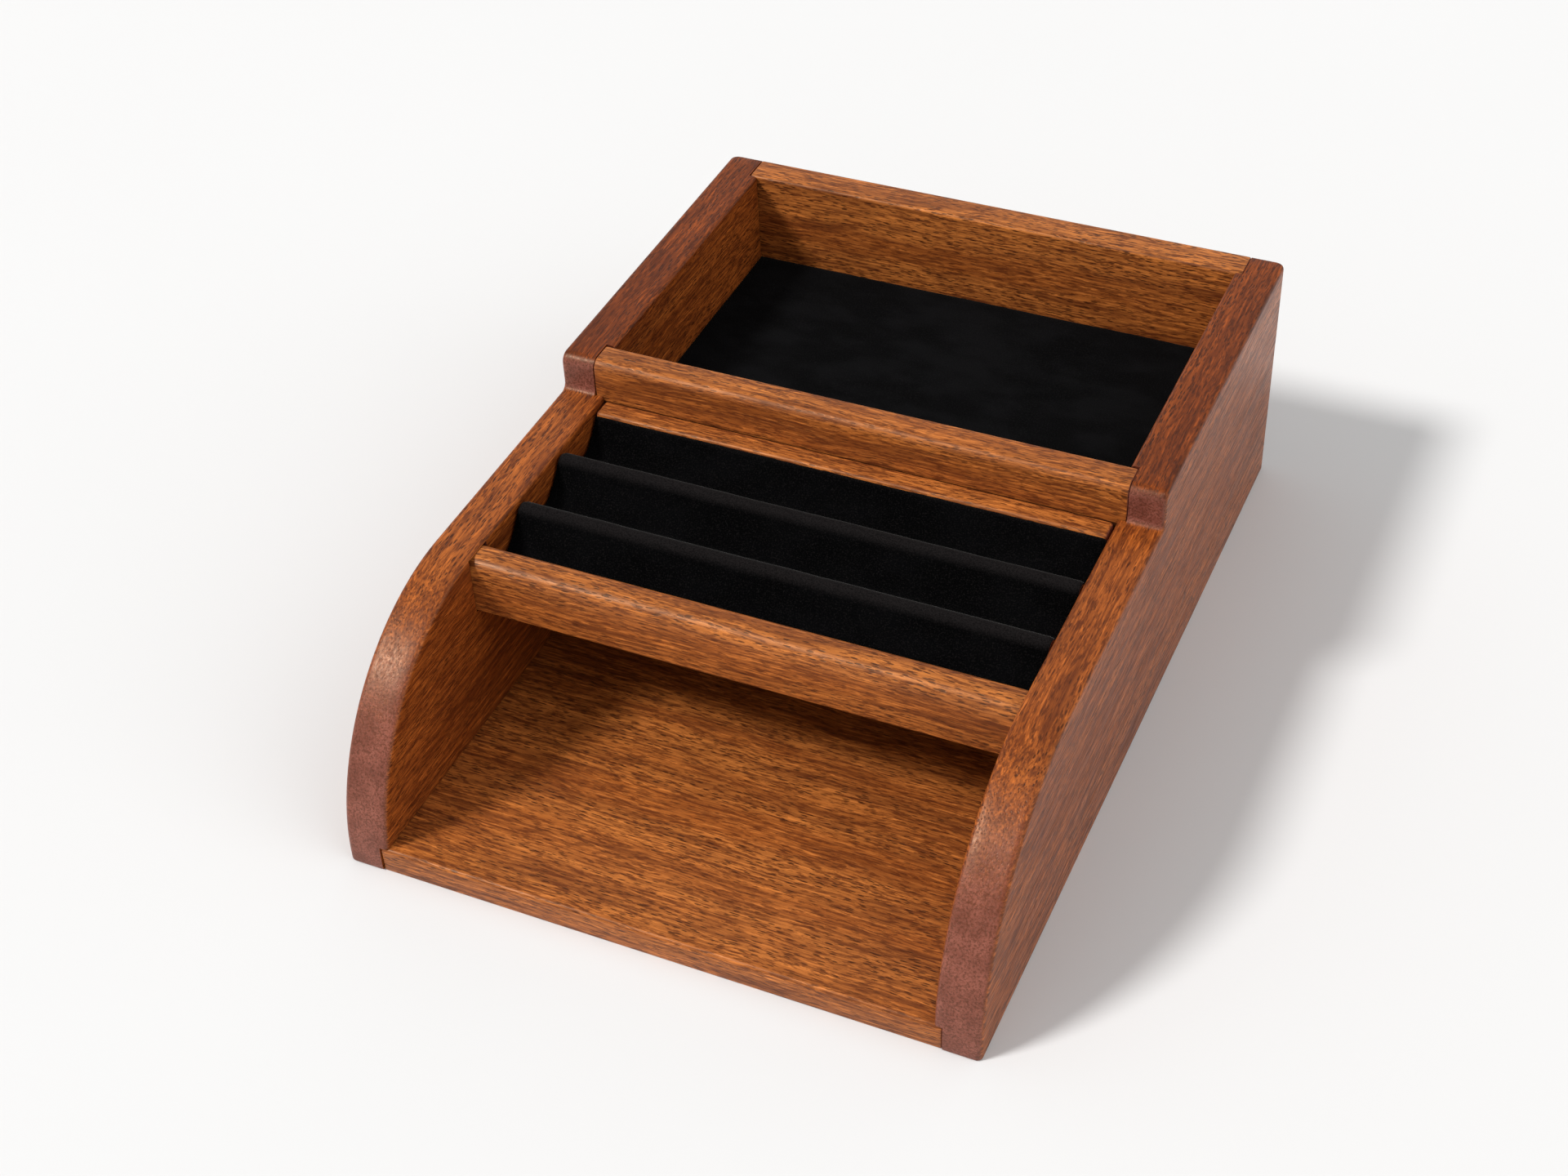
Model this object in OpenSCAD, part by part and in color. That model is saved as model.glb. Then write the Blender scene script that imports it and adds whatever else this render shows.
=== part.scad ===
// Two-tier open desk case for fountain pens, ink bottles and notebooks.
// X runs to the right, Y runs to the rear, Z is up.
// The origin is at the middle of the footprint, on the surface that the case stands on.

/* [Case] */
// Overall width, over both side boards
case_w = 190; // [170:1:260]
// Overall depth, from the front of the sides to the rear face
case_d = 268; // [262:1:320]
// Height of the upper deck, beside the ink bay
upper_h = 79.5; // [76:0.5:110]
// Height of the lower deck, beside the pen tray
lower_h = 67.5; // [66:0.5:69]
// Distance from the front to the step between the decks
step_y = 143.5; // [142:0.5:150]
// Radius of the quarter round at the front of each side
nose_r = 65; // [50:1:66]

/* [Boards] */
// Thickness of each side board
side_t = 13.5; // [11:0.5:18]
// Thickness of the base panel
base_t = 8.5; // [6:0.5:12]
// Thickness of the back panel
back_t = 10.5; // [8:0.5:14]
// Thickness of the wall between the pen tray and the ink bay
divider_t = 9.5; // [8:0.5:12]
// Depth of the housings that hold the ends of the cross boards
housing = 2.5; // [1.5:0.5:4]
// Thickness of the floor under the ink bottles
ink_floor_t = 5; // [4:0.5:6]
// Height of the top of that floor
ink_floor_z = 48; // [46:0.5:50]
// Thickness of the felt on that floor
felt_t = 1.2; // [0.8:0.1:2]
// Thickness of the floor under the pen rest
tray_floor_t = 4; // [3:0.5:5]
// Height of the top of that floor
tray_floor_z = 53; // [51:0.5:54]

/* [Front rail] */
// Thickness of the front rail
front_rail_t = 9.5; // [8:0.5:10]
// Distance from the front to the front rail
front_rail_y = 61; // [58:0.5:62]
// Height of the underside of the front rail
front_rail_z = 48; // [46:0.5:49]
// Radius of the rail's nose
front_rail_nose = 4.5; // [3:0.5:5.5]
// Radius of the rail's rear top edge
front_rail_ease = 2.5; // [1:0.5:3]

/* [Lift-out pen rest] */
// Thickness of the rear rail
rear_rail_t = 6.8; // [5:0.1:8]
// Number of pen troughs
trough_count = 3; // [2:1:3]
// Width of a whole trough
trough_w = 19.5; // [18:0.5:20]
// Depth of a trough below the ridges beside it
trough_depth = 9.6; // [7:0.1:9.8]
// Width of a ridge's rounded crest
ridge_w = 5; // [3:0.5:5.5]
// Clearance at each end
end_gap = 0.8; // [0.5:0.1:1.5]
// Clearance in front and behind
slip_gap = 0.4; // [0.3:0.1:0.8]
// Thickness of the velvet
velvet_t = 0.8; // [0.6:0.1:1.2]

/* [Edges] */
// Radius at the top of the step
step_round = 3.5; // [2:0.5:5]
// Radius of the hollow at the foot of the step
step_fillet = 2; // [1:0.5:3]
// Radius of the upright corners at the rear
rear_corner = 3.2; // [2:0.2:5]
// Radius of the upright corners at the front
front_corner = 1.6; // [1:0.2:3]
// Radius of the divider's front top edge
divider_round = 3; // [1.5:0.5:4]
// Radius of the smaller eased edges
eased = 1.2; // [0.8:0.1:1.6]

/* [Hidden] */

half_w = case_w / 2;
half_d = case_d / 2;
inner_w = case_w - 2 * side_t;
housed_w = inner_w + 2 * housing;
rest_w = inner_w - 2 * end_gap;

// Distances from the front
base_y = 0.5;
back_y = case_d - back_t;
divider_rear_y = step_y + divider_t;
front_rail_rear_y = front_rail_y + front_rail_t;
rest_front_y = front_rail_rear_y + slip_gap;
rest_rear_y = step_y - slip_gap;
rear_rail_y = rest_rear_y - rear_rail_t;

// Heights
divider_z = ink_floor_z - ink_floor_t;
front_rail_top = lower_h - 1;
rear_rail_top = lower_h - 1.2;
ridge_top = lower_h - 1;

// Pen rest surface: the troughs are set out from the rear rail, and the front one runs on
// until the front rail cuts it off
trough_pitch = trough_w + ridge_w;
crest_drop = 0.12 * trough_depth;
flank_power = 1.8;
rest_steps = 90;

felt_inset = 0.4;
open_side = 1;
wood = [0.62, 0.34, 0.20];
cross_wood = [0.68, 0.40, 0.24];
dark_cloth = [0.06, 0.06, 0.07];
$fn = 96;

// A board laid across the case: its outline is drawn as distance from the front and height
module across(width) {
    translate([-width / 2, -half_d, 0])
        rotate([90, 0, 90])
            linear_extrude(height = width) children();
}

// What a corner at the origin of the first quadrant loses when it is rounded
module corner_waste(r) {
    difference() {
        translate([-1, -1]) square(r + 1);
        translate([r, r]) circle(r);
    }
}

// A rectangle from (y0, z0) to (y1, z1) with rounded top corners
module board_outline(y0, z0, y1, z1, front_r, rear_r) {
    difference() {
        translate([y0, z0]) square([y1 - y0, z1 - z0]);
        translate([y0, z1]) mirror([0, 1]) corner_waste(front_r);
        translate([y1, z1]) mirror([1, 0]) mirror([0, 1]) corner_waste(rear_r);
    }
}

// A plain rectangle for the edge of a board that lies flat
module flat_outline(y0, y1, top, thickness) {
    translate([y0, top - thickness]) square([y1 - y0, thickness]);
}

// Quarter-round nose, lower deck, step and upper deck
module side_outline() {
    nose_z = lower_h - nose_r;
    difference() {
        union() {
            intersection() {
                translate([nose_r, nose_z]) circle(nose_r, $fn = 180);
                translate([0, nose_z]) square(nose_r);
            }
            square([nose_r, nose_z]);
            translate([nose_r, 0]) square([case_d - nose_r, lower_h]);
            translate([step_y, 0]) square([case_d - step_y, upper_h]);
            translate([step_y - step_fillet, 0]) square([step_fillet, lower_h + step_fillet]);
        }
        translate([step_y - step_fillet, lower_h + step_fillet]) circle(step_fillet);
        translate([step_y, upper_h]) mirror([0, 1]) corner_waste(step_round);
    }
}

module front_rail_outline() {
    board_outline(front_rail_y, front_rail_z, front_rail_rear_y, front_rail_top,
                  front_rail_nose, front_rail_ease);
}

module ink_floor_outline() {
    flat_outline(divider_rear_y, back_y, ink_floor_z, ink_floor_t);
}

module tray_floor_outline() {
    flat_outline(front_rail_rear_y, step_y, tray_floor_z, tray_floor_t);
}

// The recesses for the ends of the cross boards. Those for the base, the back and the
// divider run out through the faces of the side.
module housings() {
    across(housed_w) {
        flat_outline(-open_side, back_y, base_t, base_t + open_side);
        translate([back_y, -open_side]) square([back_t + open_side, upper_h + 2 * open_side]);
        translate([step_y, divider_z]) square([divider_t, upper_h]);
        translate([step_y - step_fillet, lower_h]) square([step_fillet, step_fillet]);
        ink_floor_outline();
        tray_floor_outline();
        front_rail_outline();
    }
}

// The footprint of the case, with its upright corners rounded
module footprint() {
    linear_extrude(height = upper_h)
        difference() {
            translate([-half_w, -half_d]) square([case_w, case_d]);
            for (side = [0, 1]) mirror([side, 0]) {
                translate([-half_w, -half_d]) corner_waste(front_corner);
                translate([-half_w, half_d]) mirror([0, 1]) corner_waste(rear_corner);
            }
        }
}

// The left-hand side board
module side_board() {
    color(wood)
        intersection() {
            difference() {
                translate([-half_w, -half_d, 0])
                    rotate([90, 0, 90])
                        linear_extrude(height = side_t) side_outline();
                housings();
            }
            footprint();
        }
}

module left_side() {
    side_board();
}

module right_side() {
    mirror([1, 0, 0]) side_board();
}

module base_panel() {
    color(cross_wood)
        across(housed_w)
            difference() {
                flat_outline(base_y, back_y, base_t, base_t);
                translate([base_y, base_t]) mirror([0, 1]) corner_waste(eased);
            }
}

module back_panel() {
    color(cross_wood)
        across(housed_w)
            board_outline(back_y, 0, case_d, upper_h, eased, eased);
}

module divider_wall() {
    color(cross_wood)
        across(housed_w)
            board_outline(step_y, divider_z, divider_rear_y, upper_h, divider_round, eased);
}

module ink_floor() {
    color(wood) across(housed_w) ink_floor_outline();
}

module ink_floor_felt() {
    color(dark_cloth)
        across(inner_w - 2 * felt_inset)
            flat_outline(divider_rear_y + felt_inset, back_y - felt_inset,
                         ink_floor_z + felt_t, felt_t);
}

module front_rail() {
    color(cross_wood) across(housed_w) front_rail_outline();
}

module tray_floor() {
    color(wood) across(housed_w) tray_floor_outline();
}

module pen_rest_rear_rail() {
    color(cross_wood)
        across(rest_w)
            board_outline(rear_rail_y, tray_floor_z, rest_rear_y, rear_rail_top, eased, eased);
}

// Number of the trough that a point lies in, counted from the rear, and the distance from
// that trough's middle
function trough_at(y) =
    min(trough_count - 1, floor((rear_rail_y + ridge_w / 2 - y) / trough_pitch));
function off_middle(y) = abs(y - rear_rail_y + trough_w / 2 + trough_at(y) * trough_pitch);

// Height of a trough's flank and of a ridge's crest
function flank_height(off) =
    ridge_top - trough_depth
    + (trough_depth - crest_drop) * pow(off / (trough_w / 2), flank_power);
function crest_height(off) =
    ridge_top - crest_drop * pow(1 - (off - trough_w / 2) / (ridge_w / 2), 2);
function rest_height(y) = let(off = off_middle(y))
    off < trough_w / 2 ? flank_height(off) : crest_height(off);

// The top of the pen rest, from front to rear, at a depth below the velvet's face
function rest_line(depth) = [for (i = [0 : rest_steps])
    let(y = rest_front_y + (rear_rail_y - rest_front_y) * i / rest_steps)
        [y, rest_height(y) - depth]];
function reversed(list) = [for (i = [len(list) - 1 : -1 : 0]) list[i]];

module pen_rest_block() {
    color("dimgray")
        across(rest_w)
            polygon(concat(rest_line(velvet_t),
                           [[rear_rail_y, tray_floor_z], [rest_front_y, tray_floor_z]]));
}

module pen_rest_velvet() {
    color(dark_cloth)
        across(rest_w)
            polygon(concat(rest_line(0), reversed(rest_line(velvet_t))));
}

left_side();
right_side();
base_panel();
back_panel();
divider_wall();
ink_floor();
ink_floor_felt();
front_rail();
tray_floor();
pen_rest_rear_rail();
pen_rest_block();
pen_rest_velvet();
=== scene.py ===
"""Looks of the two-tier desk case for fountain pens, ink bottles and notebooks.

X runs to the right, Y to the rear and Z up, in metres, with the origin under the middle of the case.
"""

import math

import bpy
from mathutils import Matrix, Vector, noise


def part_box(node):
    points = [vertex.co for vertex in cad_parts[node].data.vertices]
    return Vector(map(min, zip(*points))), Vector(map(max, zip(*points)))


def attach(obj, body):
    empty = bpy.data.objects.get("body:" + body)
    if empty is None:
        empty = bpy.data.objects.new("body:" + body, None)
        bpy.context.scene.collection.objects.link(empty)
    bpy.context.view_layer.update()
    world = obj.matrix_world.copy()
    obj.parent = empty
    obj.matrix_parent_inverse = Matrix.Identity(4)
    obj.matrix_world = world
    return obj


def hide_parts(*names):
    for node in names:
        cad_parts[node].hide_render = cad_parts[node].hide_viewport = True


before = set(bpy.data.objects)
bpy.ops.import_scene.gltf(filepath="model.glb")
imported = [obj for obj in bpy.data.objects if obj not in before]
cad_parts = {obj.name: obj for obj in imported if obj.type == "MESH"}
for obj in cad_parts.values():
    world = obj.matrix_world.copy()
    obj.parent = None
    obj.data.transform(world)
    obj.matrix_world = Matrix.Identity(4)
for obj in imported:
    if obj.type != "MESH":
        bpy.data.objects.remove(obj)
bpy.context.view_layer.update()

MM = 0.001

# Camera: the direction from the case to the camera, and the point that it looks at
CAMERA_AZIMUTH = math.radians(26.0)
CAMERA_ELEVATION = math.radians(40.8)
CAMERA_ROLL = math.radians(-3.05)
CAMERA_DISTANCE = 0.7175
CAMERA_TARGET = Vector((-0.0131, -0.0129, 0.030))
CAMERA_LENS = 55.26
SENSOR_WIDTH = 36
CLIP_RANGE = (0.01, 50)

# Eased edges
NOSE_RADIUS = 65 * MM
STEP_ROUND = 3.5 * MM
STEP_FILLET = 2 * MM
TOP_EASE = 1.2 * MM
FOOT_EASE = 0.8 * MM
HIDDEN_EASE = 0.4 * MM
CORE_EASE = 0.6 * MM
FRONT_UPRIGHT = 1.8 * MM
REAR_UPRIGHT = 3.2 * MM
DIVIDER_ROUND = 3 * MM
RAIL_NOSE = 4.5 * MM
RAIL_REAR = 2.5 * MM
END_EASE = 0.5 * MM
SMALLEST_RADIUS = 0.3 * MM
CAP_MARGIN = 0.6 * MM
SHARP_ANGLE = math.radians(35)

# Housings: the gap round a cross board's end, and how far a cutter runs on past each open face,
# ahead of and behind the board, then below and above it
JOINT_GAP = 0.2 * MM
RUN_OUT = 4 * MM
HOUSING_REACH = {
    "base_panel": ((RUN_OUT, 0), (RUN_OUT, 0)),
    "back_panel": ((0, RUN_OUT), (RUN_OUT, RUN_OUT)),
    "divider_wall": ((0, 0), (0, RUN_OUT)),
    "front_rail": ((0, 0), (0, 0)),
    "ink_floor": ((0, 0), (0, 0)),
    "tray_floor": ((0, 0), (0, 0)),
}

# Pen rest
TROUGH_COUNT = 3
TROUGH_W = 19.5 * MM
RIDGE_W = 5 * MM
TROUGH_PITCH = TROUGH_W + RIDGE_W
TROUGH_DEPTH = 9.6 * MM
CREST_DROP = 0.12 * TROUGH_DEPTH
FLANK_POWER = 1.8
VELVET_T = 0.8 * MM
REST_ROWS = 132
REST_COLUMNS = 150

# Cloth: each ripple is how fine it is along X and Y, per metre, its seed and its height.
# Each end or edge sinks by a share of a rounded edge.
VELVET_PUCKER = (70, 160, 0.7, 0.18 * MM)
VELVET_SWELL = (320, 420, 3.1, 0.07 * MM)
VELVET_END_SHARE = 0.35
FELT_WAVE = (45, 45, 5.3, 0.15 * MM)
FELT_EDGE = 1.5 * MM
FELT_EDGE_SHARE = 0.45
FELT_ROWS = 60
FELT_COLUMNS = 90

# Wood: light, middle and dark tones of each group of boards, then the tones of end grain and of painted
# shade
SIDE_TONES = ((0.41, 0.108, 0.018, 1), (0.29, 0.067, 0.010, 1), (0.092, 0.017, 0.004, 1))
CROSS_TONES = ((0.50, 0.160, 0.033, 1), (0.37, 0.102, 0.019, 1), (0.108, 0.023, 0.006, 1))
FLOOR_TONES = ((0.35, 0.108, 0.024, 1), (0.26, 0.071, 0.015, 1), (0.100, 0.023, 0.006, 1))
END_LIGHT = (0.268, 0.086, 0.060, 1)
END_DARK = (0.174, 0.051, 0.035, 1)
END_PORE = (0.075, 0.021, 0.012, 1)
# Painted shadow in the joint between the divider and the rear rail
JOINT_PAINTED_SHADOW = (0.030, 0.008, 0.004, 1)
# Painted shade on the upper decks
UPPER_DECK_PAINTED_SHADE = (0.60, 0.47, 0.36, 1)
FINISH_TINT = (1.0, 0.74, 0.52, 1)
# How much lighter the bright tone is, for the painted sheen flecks and for the light patches
BRIGHT = 1.6
DEEP = 0.35
SEED_SHIFT = (0.37, 0.23, 0.61)

# The wood's patterns: how fine each is across and along the grain, per metre, its detail
# and its roughness
GRAIN_PATTERNS = {
    "ribbon": (95, 5, 2, 0.5),
    "band": (170, 16, 2, 0.5),
    "patch": (430, 60, 3, 0.6),
    "streak": (620, 14, 3, 0.6),
    "fibre": (1300, 40, 5, 0.65),
    "painted_sheen": (1500, 90, 3, 0.6),
    "stroke": (1600, 210, 4, 0.65),
}
END_CLOUD = (150, 150, 3, 0.5)
END_DOTS = (1500, 1500, 3, 0.7)
PORE_CELLS = (1350, 1350, 250)
GRAIN_DRIFT = (60, 60, 22)
DRIFT_REACH = (0.004, 0.004, 0)

# What the patterns lay on the wood: where the ramp starts and ends, and how much of which tone
STROKE_RANGE = (0.48, 0.60)
GRAIN_LAYERS = (
    # Painted sheen: light flecks along the grain
    ("painted_sheen", (0.50, 0.66), 0.65, "bright"),
    ("fibre", (0.42, 0.66), 0.70, "dark"),
    ("stroke", STROKE_RANGE, 0.80, "dark"),
    ("band", (0.50, 0.70), 0.45, "dark"),
    ("patch", (0.48, 0.62), 0.16, "dark"),
    ("patch", (0.46, 0.34), 0.14, "bright"),
    ("streak", (0.54, 0.66), 0.55, "dark"),
)
RIBBON_RANGE = (0.34, 0.66)
CLOUD_RANGE = (0.30, 0.70)
DOT_RANGE = (0.44, 0.62)
PORE_RANGE = (0.36, 0.20)
PORE_SHARE = 0.85
DOT_SHARE = 0.75
END_STROKE_SHARE = 0.30

# Where a face stops being long grain and is end grain, from how squarely it cuts the grain
END_FACING = (0.30, 0.90)

# Ramps that end between two values: pores by ribbon, and roughness by fibre
PORES_BY_RIBBON = (0.35, 0.60, 0.45, 1.0)
SHINE_BY_FIBRE = (0.30, 0.75, 0.33, 0.52)

# Painted shade: how far below the rear rail's top a painted shadow darkens the joint, over what height, and
# how dark;
# and the height over which painted shade darkens the upper decks
PAINTED_SHADOW_DROP = 0.3 * MM
PAINTED_SHADOW_FADE = 0.25 * MM
PAINTED_SHADOW_SHARE = 0.88
PAINTED_SHADE_FADE = 3 * MM

# Relief of the wood and of the cloth
WOOD_RELIEF = {"Strength": 0.35, "Distance": 0.15 * MM}
FIBRE_RELIEF = 0.25
CLOTH_RELIEF = {"Strength": 0.6, "Distance": 0.25 * MM}

# For a grain along X or Y: the two axes across it and the axis along it, and its direction
GRAIN_AXES = {"x": ("Y", "Z", "X"), "y": ("X", "Z", "Y")}
GRAIN_DIRECTION = {"x": (1, 0, 0), "y": (0, 1, 0)}

# Pile cloth: how fine its nap, fuzz and lint are, its ground colour and its tuft colour, which also paints
# the sheen on the crests
PILE_NAP = (55, 90, 90)
PILE_FUZZ = (2400, 2400, 2400)
PILE_LINT = (2300, 2700, 2700)
VELVET_TONES = ((0.0008, 0.0008, 0.0009, 1), (0.013, 0.011, 0.011, 1))
FELT_TONES = ((0.0020, 0.0020, 0.0022, 1), (0.009, 0.009, 0.009, 1))
SHEEN_TINT = (0.80, 0.78, 0.76, 1)
# Nap patches are made lighter, a painted sheen
NAP_SHEEN_RANGE = (0.35, 0.70)
NAP_SHEEN_LIFT = 2.2
TUFT_RANGE = (0.48, 0.78)
TUFT_SHARE = 0.60

# Painted sheen on the crests: over what depth below the crest, how much, and how lint breaks it up. The
# felt lies well below the crest its sheen is painted up to, so it gets hardly any.
CREST_SHEEN_DEPTH = 2.4 * MM
CREST_SHEEN_SHARE = 0.85
CREST_SHEEN_BY_LINT = (0.30, 0.62, 0.35, 1.0)
FELT_BELOW_CREST = 2 * MM

# Studio: each lamp's direction, strength, spread in degrees, glare and colour, and the room round it,
# from the horizon up
KEY_LIGHT = ((-0.50, -0.42, 0.72), 2.6, 12, 1.5, (1.0, 0.99, 0.975))
FILL_LIGHT = ((0.85, -0.10, 0.70), 0.70, 50, 0.3, (1.0, 1.0, 1.0))
HORIZON_LIGHT = (0.86, 0.86, 0.86, 1)
CEILING_LIGHT = (0.50, 0.50, 0.50, 1)
ROOM_RANGE = (0.02, 0.40)

# Studio floor: its two tones, how fine its mottle is, and half its width
FLOOR_GREYS = ((0.75, 0.75, 0.75, 1), (0.77, 0.77, 0.77, 1))
FLOOR_MOTTLE = (3, 3, 3)
FLOOR_HALF = 4.0


# ---------------------------------------------------------------- meshes

def eased(distance, radius):
    """How far a rounded edge of that radius has fallen back, at a distance from the end face."""
    if distance >= radius:
        return 0.0
    return radius - math.sqrt(radius ** 2 - (radius - distance) ** 2)


def corner(y, z, radius, arc_steps=6, span_steps=1):
    """A corner of an outline, with its radius, and the steps in its arc and on to the next corner."""
    return Vector((y, z)), max(radius, SMALLEST_RADIUS), arc_steps, span_steps


def rounded_outline(corners):
    """Points round a closed outline, with an arc at each corner, convex or hollow."""
    arcs = []
    count = len(corners)
    for index, (point, radius, arc_steps, _) in enumerate(corners):
        come = (point - corners[index - 1][0]).normalized()
        go = (corners[(index + 1) % count][0] - point).normalized()
        turn = math.atan2(come.x * go.y - come.y * go.x, come.dot(go))
        start = point - come * radius * math.tan(abs(turn) / 2)
        middle = start + Vector((-come.y, come.x)) * math.copysign(radius, turn)
        arm = start - middle
        arcs.append([middle + Matrix.Rotation(turn * step / arc_steps, 2) @ arm
                     for step in range(arc_steps + 1)])
    points = []
    for index, arc in enumerate(arcs):
        points += arc
        span_steps = corners[index][3]
        onward = arcs[(index + 1) % count][0]
        points += [arc[-1].lerp(onward, step / span_steps) for step in range(1, span_steps)]
    return points


def end_stations(radius, steps):
    """Distances from an end face at which an eased edge of that radius needs a ring."""
    return [radius * (1 - math.cos(math.pi / 2 * step / steps)) for step in range(steps + 1)]


def stations(low, high, low_radius, high_radius, steps=6, spans=1):
    """Places of the rings of a board that runs from low to high along X."""
    first = [low + distance for distance in end_stations(low_radius, steps)]
    last = [high - distance for distance in reversed(end_stations(high_radius, steps))]
    between = [first[-1] + (last[0] - first[-1]) * step / spans for step in range(1, spans)]
    return first + between + last


def smoothed(mesh):
    """Smooth faces, with a crease wherever they meet at more than the sharp angle."""
    mesh.shade_smooth()
    mesh.set_sharp_from_angle(angle=SHARP_ANGLE)


def new_object(name, vertices, faces, smooth=True):
    mesh = bpy.data.meshes.new(name)
    mesh.from_pydata(vertices, [], faces)
    mesh.update()
    if smooth:
        smoothed(mesh)
    made = bpy.data.objects.new(name, mesh)
    bpy.context.scene.collection.objects.link(made)
    return made


def lofted(name, rings, outline_at):
    """A closed board through one outline for each ring. A margin inside each end keeps it flat."""
    loops = [(rings[0], CAP_MARGIN)] + [(x, 0.0) for x in rings] + [(rings[-1], CAP_MARGIN)]
    vertices = []
    for x, margin in loops:
        outline = outline_at(x, margin)
        vertices += [(x, point.x, point.y) for point in outline]
    size = len(outline)
    faces = []
    for ring in range(len(loops) - 1):
        for index in range(size):
            here = ring * size + index
            there = ring * size + (index + 1) % size
            faces.append((here, there, there + size, here + size))
    faces.append(tuple(range(size - 1, -1, -1)))
    faces.append(tuple(range(len(vertices) - size, len(vertices))))
    return new_object(name, vertices, faces)


def closed_cloth(name, low, high, columns, rows, top_at, bottom_at):
    """A closed sheet over a grid, between the heights that top_at and bottom_at give for x and y."""
    places = [(low.x + (high.x - low.x) * column / columns, low.y + (high.y - low.y) * row / rows)
              for column in range(columns + 1) for row in range(rows + 1)]
    upper = [(x, y, top_at(x, y)) for x, y in places]
    lower = [(x, y, bottom_at(x, y)) for x, y in places]
    size = len(places)
    step = rows + 1
    faces = []
    for column in range(columns):
        for row in range(rows):
            here = column * step + row
            face = (here, here + step, here + step + 1, here + 1)
            faces.append(face)
            faces.append(tuple(size + index for index in reversed(face)))
    front = [column * step for column in range(columns + 1)]
    right = [columns * step + row for row in range(step)]
    back = [column * step + rows for column in reversed(range(columns + 1))]
    left = list(reversed(range(step)))
    for line in (front, right, back, left):
        for here, onward in zip(line, line[1:]):
            faces.append((size + here, size + onward, onward, here))
    return new_object(name, upper + lower, faces)


def box_cutter(low, high):
    """A box between two corners, to be cut out of a board."""
    x0, y0, z0 = low
    x1, y1, z1 = high
    vertices = [(x, y, z) for x in (x0, x1) for y in (y0, y1) for z in (z0, z1)]
    faces = [(0, 1, 3, 2), (4, 6, 7, 5), (0, 4, 5, 1), (2, 3, 7, 6), (0, 2, 6, 4), (1, 5, 7, 3)]
    return new_object("cutter", vertices, faces, smooth=False)


def cut(piece, cutters):
    """Takes each cutter out of the piece, and removes the cutters."""
    for cutter in cutters:
        housing = piece.modifiers.new("housing", "BOOLEAN")
        housing.operation = "DIFFERENCE"
        housing.solver = "EXACT"
        housing.object = cutter
    evaluated = piece.evaluated_get(bpy.context.evaluated_depsgraph_get())
    mesh = bpy.data.meshes.new_from_object(evaluated)
    piece.modifiers.clear()
    piece.data = mesh
    smoothed(mesh)
    for cutter in cutters:
        bpy.data.objects.remove(cutter)


def finish_piece(piece, body, slot, material, *nodes):
    """Gives the piece its material and its body, and hides the CAD nodes it stands for. Its slot is not
    used.
    """
    piece.data.materials.clear()
    piece.data.materials.append(material)
    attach(piece, body)
    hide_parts(*nodes)


# ---------------------------------------------------------------- materials

def node(tree, kind, inputs=None, **settings):
    """Adds a shader node, sets it, and links or fills its inputs."""
    made = tree.nodes.new(kind)
    for key, value in settings.items():
        setattr(made, key, value)
    for key, value in (inputs or {}).items():
        if isinstance(value, bpy.types.NodeSocket):
            tree.links.new(value, made.inputs[key])
        else:
            made.inputs[key].default_value = value
    return made


def new_material(name):
    material = bpy.data.materials.new(name)
    material.use_nodes = True
    tree = material.node_tree
    return material, tree, tree.nodes["Principled BSDF"]


def scaled(tree, vector, x, y, z):
    made = node(tree, "ShaderNodeVectorMath", {0: vector, 1: (x, y, z)}, operation="MULTIPLY")
    return made.outputs[0]


def noise_at(tree, vector, detail=2.0, roughness=0.5):
    return node(tree, "ShaderNodeTexNoise",
                {"Vector": vector, "Scale": 1.0, "Detail": detail, "Roughness": roughness})


def ramp(tree, value, low, high, to_low=0.0, to_high=1.0):
    """A smooth step of value between low and high."""
    made = node(tree, "ShaderNodeMapRange",
                {"Value": value, "From Min": low, "From Max": high,
                 "To Min": to_low, "To Max": to_high}, interpolation_type="SMOOTHSTEP")
    return made.outputs["Result"]


def mixed(tree, factor, first, second, blend_type="MIX"):
    made = node(tree, "ShaderNodeMix", {0: factor, 6: first, 7: second},
                data_type="RGBA", blend_type=blend_type)
    return made.outputs[2]


def product(tree, first, second):
    return node(tree, "ShaderNodeMath", {0: first, 1: second}, operation="MULTIPLY").outputs[0]


def shade(colour, factor):
    """The colour, lighter or darker by that factor."""
    return tuple(channel * factor for channel in colour[:3]) + (1,)


def grain_noise(tree, vector, pattern):
    """Noise for one row of the wood's patterns."""
    across, along, detail, roughness = pattern
    return noise_at(tree, scaled(tree, vector, across, across, along), detail, roughness).outputs["Fac"]


def grain_space(tree, split, grain, seed):
    """Positions with the grain along Z, set apart for each board, and the same with wandering grain."""
    first, second, along = GRAIN_AXES[grain]
    turned = node(tree, "ShaderNodeCombineXYZ",
                  {0: split.outputs[first], 1: split.outputs[second], 2: split.outputs[along]})
    shift = tuple(seed * step for step in SEED_SHIFT)
    moved = node(tree, "ShaderNodeVectorMath", {0: turned.outputs[0], 1: shift}).outputs[0]
    drift = noise_at(tree, scaled(tree, moved, *GRAIN_DRIFT)).outputs["Color"]
    centred = node(tree, "ShaderNodeVectorMath",
                   {0: drift, 1: (0.5, 0.5, 0.5)}, operation="SUBTRACT").outputs[0]
    bent = node(tree, "ShaderNodeVectorMath", {0: moved, 1: scaled(tree, centred, *DRIFT_REACH)}).outputs[0]
    return moved, bent


def pores(tree, bent, ribbon):
    """Short open pores, fewer in the light ribbons."""
    cells = node(tree, "ShaderNodeTexVoronoi",
                 {"Vector": scaled(tree, bent, *PORE_CELLS), "Scale": 1.0}, feature="F1")
    pore = ramp(tree, cells.outputs["Distance"], *PORE_RANGE)
    return product(tree, pore, ramp(tree, ribbon, *PORES_BY_RIBBON))


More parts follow.
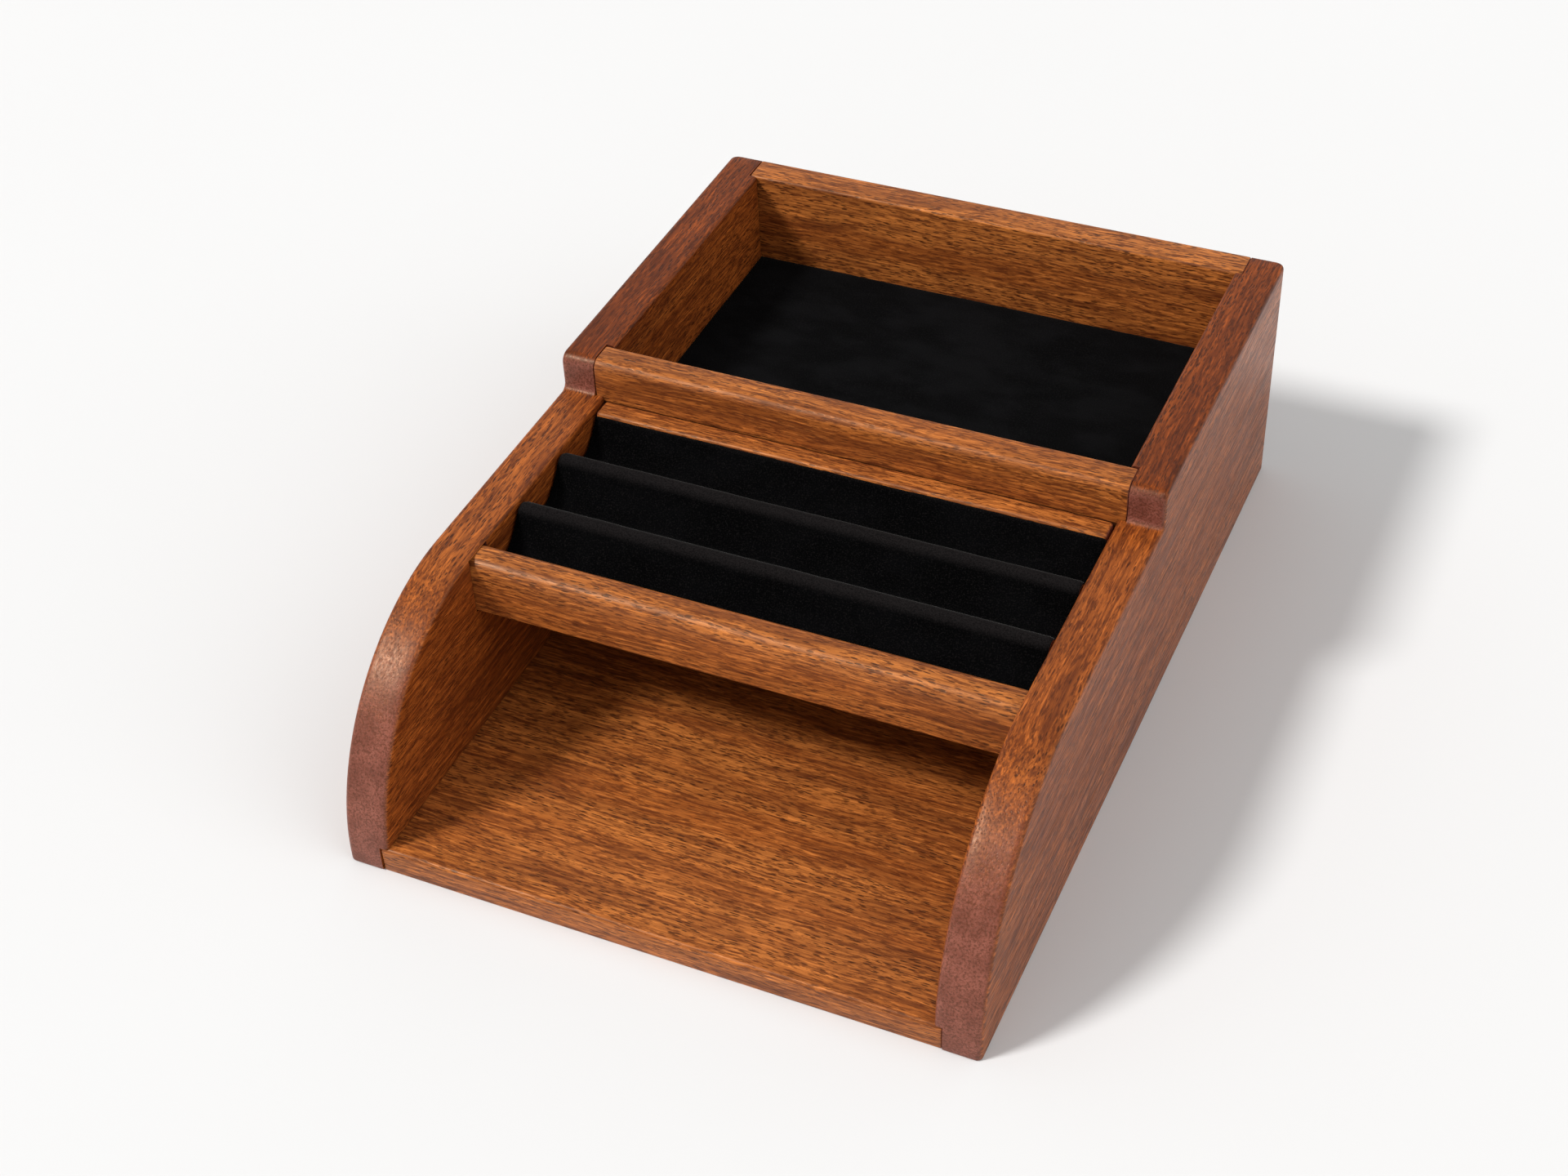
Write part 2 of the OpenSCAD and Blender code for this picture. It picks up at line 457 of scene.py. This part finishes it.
def long_grain(tree, patterns, pore, light, middle, dark):
    """Tone of the faces along the grain."""
    # The bright tone paints sheen flecks as well as light patches
    tones = {"bright": shade(light, BRIGHT), "dark": dark}
    base = mixed(tree, ramp(tree, patterns["ribbon"], *RIBBON_RANGE), middle, light)
    for pattern, (low, high), share, tone in GRAIN_LAYERS:
        base = mixed(tree, ramp(tree, patterns[pattern], low, high, 0.0, share), base, tones[tone])
    return mixed(tree, product(tree, pore, PORE_SHARE), base, shade(dark, DEEP))


def end_grain(tree, moved, stroke, dark):
    """Tone of the faces across the grain, which soak up more finish, so they are darker and duller."""
    cloud = grain_noise(tree, moved, END_CLOUD)
    dots = grain_noise(tree, moved, END_DOTS)
    base = mixed(tree, ramp(tree, cloud, *CLOUD_RANGE), END_LIGHT, END_DARK)
    base = mixed(tree, ramp(tree, dots, *DOT_RANGE, 0.0, DOT_SHARE), base, END_PORE)
    return mixed(tree, ramp(tree, stroke, *STROKE_RANGE, 0.0, END_STROKE_SHARE), base, dark)


def wood(name, grain, seed, light, middle, dark, painted_shadow_z=None, painted_shade_top_z=None):
    """Satin sapele whose grain runs along one axis, "x" or "y". Faces across the grain show end grain.

    A painted shadow darkens what lies below the given joint height, inside a joint. Painted shade
    darkens the last few millimetres up to the given top height.
    """
    material, tree, shader = new_material(name)
    place = node(tree, "ShaderNodeTexCoord")
    split = node(tree, "ShaderNodeSeparateXYZ", {0: place.outputs["Object"]})
    moved, bent = grain_space(tree, split, grain, seed)
    patterns = {key: grain_noise(tree, bent, pattern) for key, pattern in GRAIN_PATTERNS.items()}
    pore = pores(tree, bent, patterns["ribbon"])

    facing = node(tree, "ShaderNodeVectorMath", {0: place.outputs["Normal"], 1: GRAIN_DIRECTION[grain]},
                  operation="DOT_PRODUCT").outputs["Value"]
    across = node(tree, "ShaderNodeMath", {0: facing}, operation="ABSOLUTE").outputs[0]
    base = mixed(tree, ramp(tree, across, *END_FACING),
                 long_grain(tree, patterns, pore, light, middle, dark),
                 end_grain(tree, moved, patterns["stroke"], dark))

    height = split.outputs["Z"]
    # Painted shadow on the divider below the rear rail's top, inside the joint
    if painted_shadow_z is not None:
        joint_shadow = ramp(tree, height, painted_shadow_z, painted_shadow_z - PAINTED_SHADOW_FADE, 0.0, PAINTED_SHADOW_SHARE)
        base = mixed(tree, joint_shadow, base, JOINT_PAINTED_SHADOW)
    # Painted shade over the top few millimetres, on the upper decks
    if painted_shade_top_z is not None:
        upper_deck_shade = ramp(tree, height, painted_shade_top_z - PAINTED_SHADE_FADE, painted_shade_top_z)
        base = mixed(tree, upper_deck_shade, base, UPPER_DECK_PAINTED_SHADE, blend_type="MULTIPLY")
    tree.links.new(base, shader.inputs["Base Color"])

    tree.links.new(ramp(tree, patterns["fibre"], *SHINE_BY_FIBRE), shader.inputs["Roughness"])
    shader.inputs["Specular IOR Level"].default_value = 0.38
    shader.inputs["Specular Tint"].default_value = FINISH_TINT
    relief = node(tree, "ShaderNodeMath",
                  {0: product(tree, patterns["fibre"], FIBRE_RELIEF), 1: pore},
                  operation="SUBTRACT").outputs[0]
    bump = node(tree, "ShaderNodeBump", {"Height": relief, **WOOD_RELIEF})
    tree.links.new(bump.outputs[0], shader.inputs["Normal"])
    return material


def pile_cloth(name, colour, tuft_and_sheen, sheen, seed, crest_z):
    """Short-pile cloth, near black, with painted sheen where the nap lies in patches and on the crests up
    to crest_z.
    """
    material, tree, shader = new_material(name)
    place = node(tree, "ShaderNodeTexCoord")
    moved = node(tree, "ShaderNodeVectorMath",
                 {0: place.outputs["Object"], 1: (seed * 0.3, seed * 0.2, 0)}).outputs[0]
    nap = noise_at(tree, scaled(tree, moved, *PILE_NAP), detail=3).outputs["Fac"]
    fuzz = noise_at(tree, scaled(tree, moved, *PILE_FUZZ), detail=2, roughness=0.7).outputs["Fac"]
    lint = noise_at(tree, scaled(tree, moved, *PILE_LINT), detail=2, roughness=0.6).outputs["Fac"]
    # Painted sheen: lighter patches where the nap lies otherwise
    base = mixed(tree, ramp(tree, nap, *NAP_SHEEN_RANGE), colour, shade(colour, NAP_SHEEN_LIFT))
    base = mixed(tree, ramp(tree, lint, *TUFT_RANGE, 0.0, TUFT_SHARE), base, tuft_and_sheen)
    height = node(tree, "ShaderNodeSeparateXYZ", {0: place.outputs["Object"]}).outputs["Z"]
    # Painted sheen on the crests, broken up by lint
    crest_sheen = ramp(tree, height, crest_z - CREST_SHEEN_DEPTH, crest_z, 0.0, CREST_SHEEN_SHARE)
    base = mixed(tree, product(tree, crest_sheen, ramp(tree, lint, *CREST_SHEEN_BY_LINT)), base, tuft_and_sheen)
    tree.links.new(base, shader.inputs["Base Color"])
    shader.inputs["Roughness"].default_value = 0.95
    shader.inputs["Specular IOR Level"].default_value = 0.02
    shader.inputs["Sheen Weight"].default_value = sheen
    shader.inputs["Sheen Roughness"].default_value = 0.30
    shader.inputs["Sheen Tint"].default_value = SHEEN_TINT
    bump = node(tree, "ShaderNodeBump", {"Height": fuzz, **CLOTH_RELIEF})
    tree.links.new(bump.outputs[0], shader.inputs["Normal"])
    return material


upper_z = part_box("left_side")[1].z
# The divider gets a painted shadow below this height, in its joint with the rear rail
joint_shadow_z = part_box("pen_rest_rear_rail")[1].z - PAINTED_SHADOW_DROP
# The side boards get painted shade on their upper decks
side_wood_left = wood("side_wood_left", "y", 1, *SIDE_TONES, painted_shade_top_z=upper_z)
side_wood_right = wood("side_wood_right", "y", 2, *SIDE_TONES, painted_shade_top_z=upper_z)
base_wood = wood("base_wood", "x", 3, *CROSS_TONES)
back_wood = wood("back_wood", "x", 4, *CROSS_TONES)
divider_wood = wood("divider_wood", "x", 5, *CROSS_TONES, painted_shadow_z=joint_shadow_z)
front_rail_wood = wood("front_rail_wood", "x", 6, *CROSS_TONES)
rear_rail_wood = wood("rear_rail_wood", "x", 7, *CROSS_TONES)
floor_wood = wood("floor_wood", "x", 9, *FLOOR_TONES)
block_wood = wood("block_wood", "x", 11, *FLOOR_TONES)
velvet = pile_cloth("black_velvet", *VELVET_TONES, sheen=0.08, seed=1,
                    crest_z=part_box("pen_rest_velvet")[1].z)
felt = pile_cloth("black_felt", *FELT_TONES, sheen=0.04, seed=2,
                  crest_z=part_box("ink_floor_felt")[1].z + FELT_BELOW_CREST)


# ---------------------------------------------------------------- side boards

side_low, side_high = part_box("left_side")
divider_low, divider_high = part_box("divider_wall")
front_y = side_low.y
rear_y = side_high.y
step_y = divider_low.y
side_points = [vertex.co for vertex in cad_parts["left_side"].data.vertices]
deck_z = max(point.z for point in side_points if point.y < front_y + NOSE_RADIUS)


def side_outline(inner, outer, margin):
    """Outline of a side board at a distance from its inner and its outer face.

    The many steps along the long edges keep the faces of the cut board compact.
    """
    top = eased(inner, TOP_EASE) + eased(outer, TOP_EASE) + margin
    foot = eased(inner, FOOT_EASE) + eased(outer, FOOT_EASE) + margin
    front = eased(inner, FRONT_UPRIGHT) + eased(outer, FRONT_UPRIGHT) + margin
    rear = eased(inner, TOP_EASE) + eased(outer, REAR_UPRIGHT) + margin
    return rounded_outline([
        corner(front_y + front, foot, FOOT_EASE - foot, 4, 50),
        corner(rear_y - rear, foot, FOOT_EASE - foot, 4, 16),
        corner(rear_y - rear, upper_z - top, TOP_EASE - top, 4, 26),
        corner(step_y + top, upper_z - top, STEP_ROUND - top, 8, 2),
        corner(step_y + top, deck_z - top, STEP_FILLET + top, 6, 16),
        corner(front_y + front, deck_z - top, NOSE_RADIUS - top, 56, 1),
    ])


def housing_cutters(is_left):
    """Boxes that clear the ends of the cross boards out of a side board."""
    cutters = []
    for node_name, ((ahead, behind), (below, above)) in HOUSING_REACH.items():
        low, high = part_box(node_name)
        x_range = (low.x - JOINT_GAP, 0) if is_left else (0, high.x + JOINT_GAP)
        cutters.append(box_cutter(
            (x_range[0], low.y - JOINT_GAP - ahead, low.z - JOINT_GAP - below),
            (x_range[1], high.y + JOINT_GAP + behind, high.z + JOINT_GAP + above)))

    # The hollow at the foot of the step stops where the divider stands
    low, high = divider_low, divider_high
    x_range = (low.x - JOINT_GAP, 0) if is_left else (0, high.x + JOINT_GAP)
    cutters.append(box_cutter((x_range[0], low.y - 2 * STEP_FILLET, deck_z),
                              (x_range[1], low.y + JOINT_GAP, high.z + RUN_OUT)))
    return cutters


def side_board(node_name, material, is_left):
    """A side board, with its housings cut in the inner face."""
    low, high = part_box(node_name)
    inner_x = high.x if is_left else low.x
    outer_x = low.x if is_left else high.x
    radii = (REAR_UPRIGHT, TOP_EASE) if is_left else (TOP_EASE, REAR_UPRIGHT)
    rings = stations(low.x, high.x, *radii, steps=10, spans=3)
    board = lofted(node_name + "_board", rings,
                   lambda x, margin: side_outline(abs(x - inner_x), abs(x - outer_x), margin))
    cut(board, housing_cutters(is_left))
    finish_piece(board, "case", "side_wood", material, node_name)


side_board("left_side", side_wood_left, True)
side_board("right_side", side_wood_right, False)


# ---------------------------------------------------------------- cross boards

def cross_board(node_name, body, slot, material, front_r, rear_r, foot_r=HIDDEN_EASE, end_r=END_EASE):
    """A board with its grain along X and its long edges rounded."""
    low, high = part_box(node_name)

    def outline_at(x, margin):
        inset = eased(x - low.x, end_r) + eased(high.x - x, end_r) + margin
        return rounded_outline([
            corner(low.y + inset, low.z + inset, foot_r - inset, 3),
            corner(high.y - inset, low.z + inset, foot_r - inset, 3),
            corner(high.y - inset, high.z - inset, rear_r - inset, 6),
            corner(low.y + inset, high.z - inset, front_r - inset, 8),
        ])

    rings = stations(low.x, high.x, end_r, end_r, steps=4, spans=24)
    board = lofted(node_name + "_board", rings, outline_at)
    finish_piece(board, body, slot, material, node_name)


cross_board("base_panel", "case", "cross_wood", base_wood, TOP_EASE, SMALLEST_RADIUS)
cross_board("back_panel", "case", "cross_wood", back_wood, TOP_EASE, TOP_EASE)
cross_board("divider_wall", "case", "cross_wood", divider_wood, DIVIDER_ROUND, TOP_EASE)
cross_board("front_rail", "case", "cross_wood", front_rail_wood, RAIL_NOSE, RAIL_REAR, foot_r=TOP_EASE)
cross_board("ink_floor", "case", "floor_wood", floor_wood, SMALLEST_RADIUS, SMALLEST_RADIUS)
cross_board("tray_floor", "case", "floor_wood", floor_wood, SMALLEST_RADIUS, SMALLEST_RADIUS)
cross_board("pen_rest_rear_rail", "pen_rest", "cross_wood", rear_rail_wood,
            TOP_EASE, FOOT_EASE, end_r=TOP_EASE)


# ---------------------------------------------------------------- pen rest

rest_low, rest_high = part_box("pen_rest_velvet")
block_low, block_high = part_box("pen_rest_block")


def rest_height(y):
    """Height of the velvet's face: troughs between rounded ridges, set out from the rear rail."""
    trough = min(TROUGH_COUNT - 1, math.floor((rest_high.y + RIDGE_W / 2 - y) / TROUGH_PITCH))
    off = abs(y - (rest_high.y - TROUGH_W / 2 - trough * TROUGH_PITCH))
    if off < TROUGH_W / 2:
        rise = (TROUGH_DEPTH - CREST_DROP) * (off / (TROUGH_W / 2)) ** FLANK_POWER
        return rest_high.z - TROUGH_DEPTH + rise
    return rest_high.z - CREST_DROP * (1 - (off - TROUGH_W / 2) / (RIDGE_W / 2)) ** 2


def rest_rows(inset):
    """Places from front to rear at which the rest's height is taken."""
    low = rest_low.y + inset
    high = rest_high.y - inset
    return [low + (high - low) * row / REST_ROWS for row in range(REST_ROWS + 1)]


def pen_rest_block():
    """The shaped core under the velvet."""

    def outline_at(x, margin):
        inset = eased(x - block_low.x, CORE_EASE) + eased(block_high.x - x, CORE_EASE) + margin
        top = [Vector((y, rest_height(y) - VELVET_T - inset)) for y in reversed(rest_rows(inset))]
        foot = block_low.z + inset
        return [Vector((rest_low.y + inset, foot)), Vector((rest_high.y - inset, foot))] + top

    rings = stations(block_low.x, block_high.x, CORE_EASE, CORE_EASE, steps=3, spans=12)
    block = lofted("pen_rest_core", rings, outline_at)
    finish_piece(block, "pen_rest", "block_wood", block_wood, "pen_rest_block")


def ripple(x, y, fine_x, fine_y, seed, height):
    """A smooth random rise or fall of up to about that height."""
    return noise.noise(Vector((x * fine_x, y * fine_y, seed))) * height


def velvet_top(x, y):
    """The velvet's face, with faint puckers and soft ends."""
    end = min(x - rest_low.x, rest_high.x - x)
    uneven = ripple(x, y, *VELVET_PUCKER) + ripple(x, y, *VELVET_SWELL)
    return rest_height(y) + uneven - VELVET_END_SHARE * eased(end, TOP_EASE)


def pen_rest_velvet():
    """Velvet glued over the core."""
    cloth = closed_cloth("pen_rest_velvet_cloth", rest_low, rest_high, REST_COLUMNS, REST_ROWS,
                         velvet_top, lambda x, y: rest_height(y) - VELVET_T)
    finish_piece(cloth, "pen_rest", "velvet", velvet, "pen_rest_velvet")


pen_rest_block()
pen_rest_velvet()


# ---------------------------------------------------------------- felt in the ink bay

felt_low, felt_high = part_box("ink_floor_felt")


def felt_top(x, y):
    """The felt's face, with faint waves and soft edges."""
    edge = min(x - felt_low.x, felt_high.x - x, y - felt_low.y, felt_high.y - y)
    return felt_high.z + ripple(x, y, *FELT_WAVE) - FELT_EDGE_SHARE * eased(edge, FELT_EDGE)


def ink_felt():
    """Felt glued on the ink bay's floor."""
    cloth = closed_cloth("ink_floor_felt_cloth", felt_low, felt_high, FELT_COLUMNS, FELT_ROWS,
                         felt_top, lambda x, y: felt_low.z)
    finish_piece(cloth, "case", "felt", felt, "ink_floor_felt")


ink_felt()


# ---------------------------------------------------------------- floor, lights and camera

def studio_floor():
    """A wide pale floor, with a very faint mottle."""
    material, tree, shader = new_material("studio_floor")
    place = node(tree, "ShaderNodeTexCoord")
    mottle = noise_at(tree, scaled(tree, place.outputs["Object"], *FLOOR_MOTTLE), detail=2).outputs["Fac"]
    tree.links.new(mixed(tree, mottle, *FLOOR_GREYS), shader.inputs["Base Color"])
    shader.inputs["Roughness"].default_value = 0.8
    corners = [(x * FLOOR_HALF, y * FLOOR_HALF, 0) for x, y in ((-1, -1), (1, -1), (1, 1), (-1, 1))]
    floor = new_object("studio_floor", corners, [(0, 1, 2, 3)], smooth=False)
    floor.data.materials.append(material)


def studio_lamp(name, toward, strength, spread, glare, colour):
    """An even light from one side, spread over that many degrees. Glare scales how much it shines."""
    light = bpy.data.lights.new(name, "SUN")
    light.energy = strength
    light.angle = math.radians(spread)
    light.color = colour
    light.specular_factor = glare
    lamp = bpy.data.objects.new(name, light)
    bpy.context.scene.collection.objects.link(lamp)
    lamp.location = toward
    lamp.rotation_euler = Vector(toward).to_track_quat("Z", "Y").to_euler()


def studio_light():
    """A pale room, brighter round the horizon, with a soft key from the front left."""
    world = bpy.data.worlds.new("studio")
    world.use_nodes = True
    tree = world.node_tree
    place = node(tree, "ShaderNodeTexCoord")
    height = node(tree, "ShaderNodeSeparateXYZ", {0: place.outputs["Generated"]}).outputs["Z"]
    room = mixed(tree, ramp(tree, height, *ROOM_RANGE), HORIZON_LIGHT, CEILING_LIGHT)
    tree.links.new(room, tree.nodes["Background"].inputs["Color"])
    bpy.context.scene.world = world
    studio_lamp("key_light", *KEY_LIGHT)
    studio_lamp("fill_light", *FILL_LIGHT)
    bpy.context.scene.view_settings.view_transform = "Standard"


def camera():
    """The photo's view of the case."""
    back = Vector((math.sin(CAMERA_AZIMUTH) * math.cos(CAMERA_ELEVATION),
                   -math.cos(CAMERA_AZIMUTH) * math.cos(CAMERA_ELEVATION),
                   math.sin(CAMERA_ELEVATION)))
    level = Vector((0, 0, 1)).cross(back).normalized()
    upright = back.cross(level)
    right = math.cos(CAMERA_ROLL) * level + math.sin(CAMERA_ROLL) * upright
    up = math.cos(CAMERA_ROLL) * upright - math.sin(CAMERA_ROLL) * level
    lens = bpy.data.cameras.new("camera")
    lens.lens = CAMERA_LENS
    lens.sensor_width = SENSOR_WIDTH
    lens.clip_start, lens.clip_end = CLIP_RANGE
    shot = bpy.data.objects.new("camera", lens)
    bpy.context.scene.collection.objects.link(shot)
    shot.matrix_world = Matrix.Translation(CAMERA_TARGET + back * CAMERA_DISTANCE) @ Matrix(
        (right, up, back)).transposed().to_4x4()
    bpy.context.scene.camera = shot


studio_floor()
studio_light()
camera()
